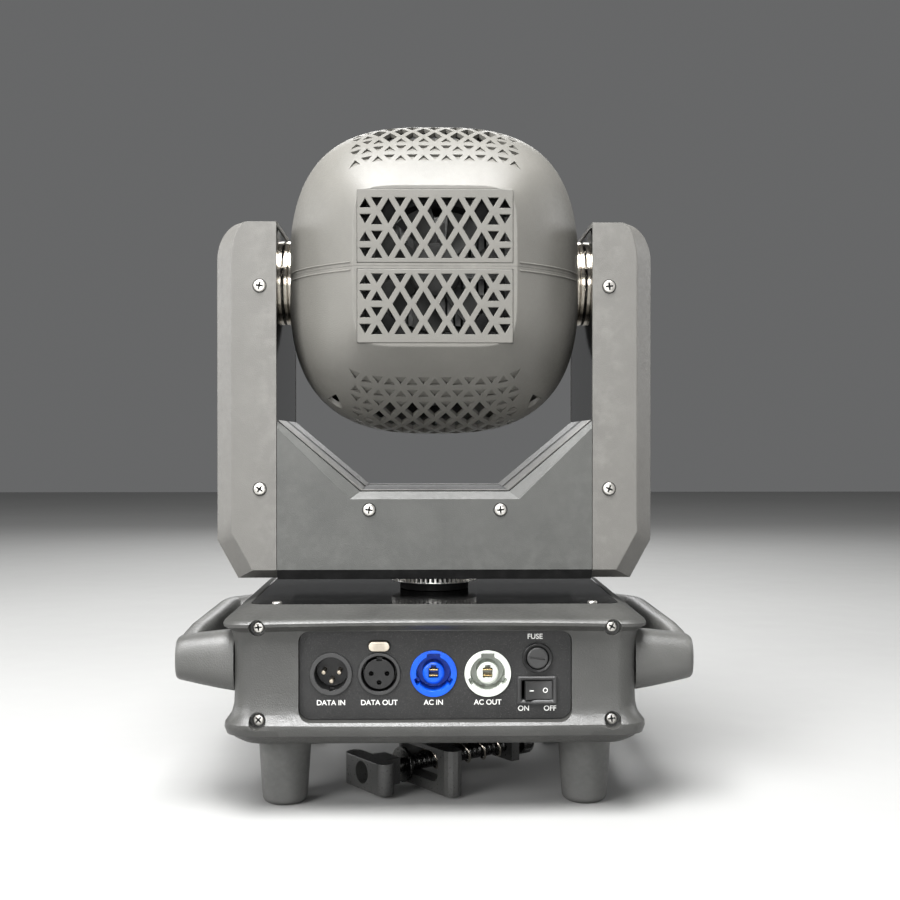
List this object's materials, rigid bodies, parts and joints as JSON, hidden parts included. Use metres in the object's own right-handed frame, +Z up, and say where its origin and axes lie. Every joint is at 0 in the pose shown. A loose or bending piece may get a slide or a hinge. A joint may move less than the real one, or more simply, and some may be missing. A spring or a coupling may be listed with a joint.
{
  "type": "moving head light",
  "caption": "Moving head stage light: a tilting lamp head in a panning yoke on a base with sockets, side handles, feet and a folded pipe clamp.",
  "frame": {"origin": "on the floor under the feet, on the pan axis", "axes": "+Z up; connector panel towards -Y; lens, display and buttons towards +Y; pan turned to zero and beam level"},
  "size_m": [0.2824, 0.215, 0.3901],
  "materials": {
    "base_housing": "fine grain, satin",
    "base_top_plate": "semi gloss",
    "base_bottom_plate": "satin",
    "foot_rear_left": "matte",
    "foot_rear_right": "matte",
    "foot_front_left": "matte",
    "foot_front_right": "matte",
    "handle_left": "fine grain, satin",
    "handle_right": "fine grain, satin",
    "power_supply": "satin",
    "connector_panel": "fine satin",
    "signal_in_socket": "semi gloss",
    "signal_out_socket": "semi gloss",
    "power_in_socket": "satin",
    "power_out_socket": "satin",
    "fuse_holder": "semi gloss",
    "switch_bezel": "semi gloss",
    "display_panel": "fine satin",
    "display_window": "clear",
    "omega_bracket": "powder coat",
    "swivel_bolt": "bright",
    "pan_ring_gear": "machined",
    "pan_shaft": "machined",
    "release_tab": "satin",
    "fuse_cap": "semi gloss",
    "switch_rocker": "semi gloss",
    "menu_button_1": "matte",
    "menu_button_2": "matte",
    "menu_button_3": "matte",
    "menu_button_4": "matte",
    "clamp_frame": "powder coat",
    "clamp_spring": "bright",
    "clamp_jaw": "powder coat",
    "clamp_bolt": "machined",
    "yoke_crossbar": "fine grain, satin",
    "yoke_cover_rear": "fine grain, satin",
    "yoke_cover_front": "fine grain, satin",
    "yoke_bottom_plate": "fine grain, satin",
    "arm_cover_left": "fine grain, satin",
    "arm_cover_right": "fine grain, satin",
    "arm_frame_left": "satin",
    "arm_frame_right": "satin",
    "pan_bearing": "machined",
    "pan_motor": "satin",
    "pan_belt": "matte",
    "tilt_motor": "satin",
    "tilt_belt": "matte",
    "pan_motor_pulley": "machined",
    "tilt_motor_pulley": "machined",
    "head_shell_upper": "fine grain, satin",
    "head_shell_lower": "fine grain, satin",
    "tilt_hub_left": "polished",
    "tilt_hub_right": "polished",
    "lens_bezel": "fine grain, satin",
    "front_lens": "clear",
    "head_chassis": "satin",
    "heat_sink": "satin",
    "fan_frame": "satin",
    "fan_rotor": "satin",
    "colour_wheel": "satin"
  },
  "bodies": {
    "base": {"base_housing": "base_housing", "base_top_plate": "base_top_plate", "base_bottom_plate": "base_bottom_plate", "foot_rear_left": "foot_rear_left", "foot_rear_right": "foot_rear_right", "foot_front_left": "foot_front_left", "foot_front_right": "foot_front_right", "handle_left": "handle_left", "handle_right": "handle_right", "power_supply": "power_supply", "connector_panel": "connector_panel", "signal_in_socket": "signal_in_socket", "signal_out_socket": "signal_out_socket", "power_in_socket": "power_in_socket", "power_out_socket": "power_out_socket", "fuse_holder": "fuse_holder", "switch_bezel": "switch_bezel", "display_panel": "display_panel", "display_window": "display_window", "omega_bracket": "omega_bracket", "swivel_bolt": "swivel_bolt", "pan_ring_gear": "pan_ring_gear", "pan_shaft": "pan_shaft"},
    "release": {"release_tab": "release_tab"},
    "fuse": {"fuse_cap": "fuse_cap"},
    "switch": {"switch_rocker": "switch_rocker"},
    "button_1": {"menu_button_1": "menu_button_1"},
    "button_2": {"menu_button_2": "menu_button_2"},
    "button_3": {"menu_button_3": "menu_button_3"},
    "button_4": {"menu_button_4": "menu_button_4"},
    "clamp": {"clamp_frame": "clamp_frame", "clamp_spring": "clamp_spring"},
    "clamp_slider": {"clamp_jaw": "clamp_jaw"},
    "clamp_screw": {"clamp_bolt": "clamp_bolt"},
    "yoke": {"yoke_crossbar": "yoke_crossbar", "yoke_cover_rear": "yoke_cover_rear", "yoke_cover_front": "yoke_cover_front", "yoke_bottom_plate": "yoke_bottom_plate", "arm_cover_left": "arm_cover_left", "arm_cover_right": "arm_cover_right", "arm_frame_left": "arm_frame_left", "arm_frame_right": "arm_frame_right", "pan_bearing": "pan_bearing", "pan_motor": "pan_motor", "pan_belt": "pan_belt", "tilt_motor": "tilt_motor", "tilt_belt": "tilt_belt"},
    "pan_pinion": {"pan_motor_pulley": "pan_motor_pulley"},
    "tilt_pinion": {"tilt_motor_pulley": "tilt_motor_pulley"},
    "head": {"head_shell_upper": "head_shell_upper", "head_shell_lower": "head_shell_lower", "tilt_hub_left": "tilt_hub_left", "tilt_hub_right": "tilt_hub_right", "lens_bezel": "lens_bezel", "front_lens": "front_lens", "head_chassis": "head_chassis", "heat_sink": "heat_sink", "fan_frame": "fan_frame"},
    "fan": {"fan_rotor": "fan_rotor"},
    "wheel": {"colour_wheel": "colour_wheel"}
  },
  "joints": [
    {"name": "pan", "type": "hinge", "parent": "base", "child": "yoke", "pos_m": [0, 0, 0.1165], "axis": [0, 0, 1], "range_deg": [-270, 270]},
    {"name": "tilt", "type": "hinge", "parent": "yoke", "child": "head", "pos_m": [0, 0, 0.298], "axis": [1, 0, 0], "range_deg": [-45, 225]},
    {"name": "pan_pinion_spin", "type": "hinge", "parent": "yoke", "child": "pan_pinion", "pos_m": [0.058, 0, 0.1375], "axis": [0, 0, 1], "range_deg": [-1081, 1081]},
    {"name": "tilt_pinion_spin", "type": "hinge", "parent": "yoke", "child": "tilt_pinion", "pos_m": [0.116, 0, 0.215], "axis": [1, 0, 0], "range_deg": [-115, 572]},
    {"name": "fan_spin", "type": "hinge", "parent": "head", "child": "fan", "pos_m": [0, -0.0615, 0.298], "axis": [0, 1, 0], "continuous": true},
    {"name": "colour_wheel_spin", "type": "hinge", "parent": "head", "child": "wheel", "pos_m": [0, 0.0307, 0.26], "axis": [0, 1, 0], "continuous": true},
    {"name": "power_switch", "type": "hinge", "parent": "base", "child": "switch", "pos_m": [0.0546, -0.0965, 0.0676], "axis": [0, 0, 1], "range_deg": [-20, 0]},
    {"name": "fuse_turn", "type": "hinge", "parent": "base", "child": "fuse", "pos_m": [0.0548, -0.095, 0.085], "axis": [0, 1, 0], "range_deg": [0, 60]},
    {"name": "release_press", "type": "slide", "parent": "base", "child": "release", "axis": [0, 1, 0], "range_m": [0, 0.0015], "stiffness_N_per_m": 600},
    {"name": "menu_press_1", "type": "slide", "parent": "base", "child": "button_1", "axis": [0, -1, 0], "range_m": [0, 0.001], "stiffness_N_per_m": 700},
    {"name": "menu_press_2", "type": "slide", "parent": "base", "child": "button_2", "axis": [0, -1, 0], "range_m": [0, 0.001], "stiffness_N_per_m": 700},
    {"name": "menu_press_3", "type": "slide", "parent": "base", "child": "button_3", "axis": [0, -1, 0], "range_m": [0, 0.001], "stiffness_N_per_m": 700},
    {"name": "menu_press_4", "type": "slide", "parent": "base", "child": "button_4", "axis": [0, -1, 0], "range_m": [0, 0.001], "stiffness_N_per_m": 700},
    {"name": "clamp_swivel", "type": "hinge", "parent": "base", "child": "clamp", "pos_m": [0, 0, 0.0353], "axis": [0, 0, 1], "range_deg": [-90, 90]},
    {"name": "clamp_bolt_turn", "type": "hinge", "parent": "clamp", "child": "clamp_screw", "pos_m": [0.01187, -0.01634, 0.012], "axis": [0.809, 0.5878, 0], "range_deg": [0, 1584.1]},
    {"name": "clamp_jaw_slide", "type": "slide", "parent": "clamp", "child": "clamp_slider", "axis": [0.809, 0.5878, 0], "range_m": [0, 0.0055]}
  ],
  "couplings": [
    {"joint": "pan_pinion_spin", "follows": "pan", "ratio": -4},
    {"joint": "tilt_pinion_spin", "follows": "tilt", "ratio": 2.5385},
    {"joint": "clamp_bolt_turn", "follows": "clamp_jaw_slide", "rad_per_m": 5026.5}
  ]
}
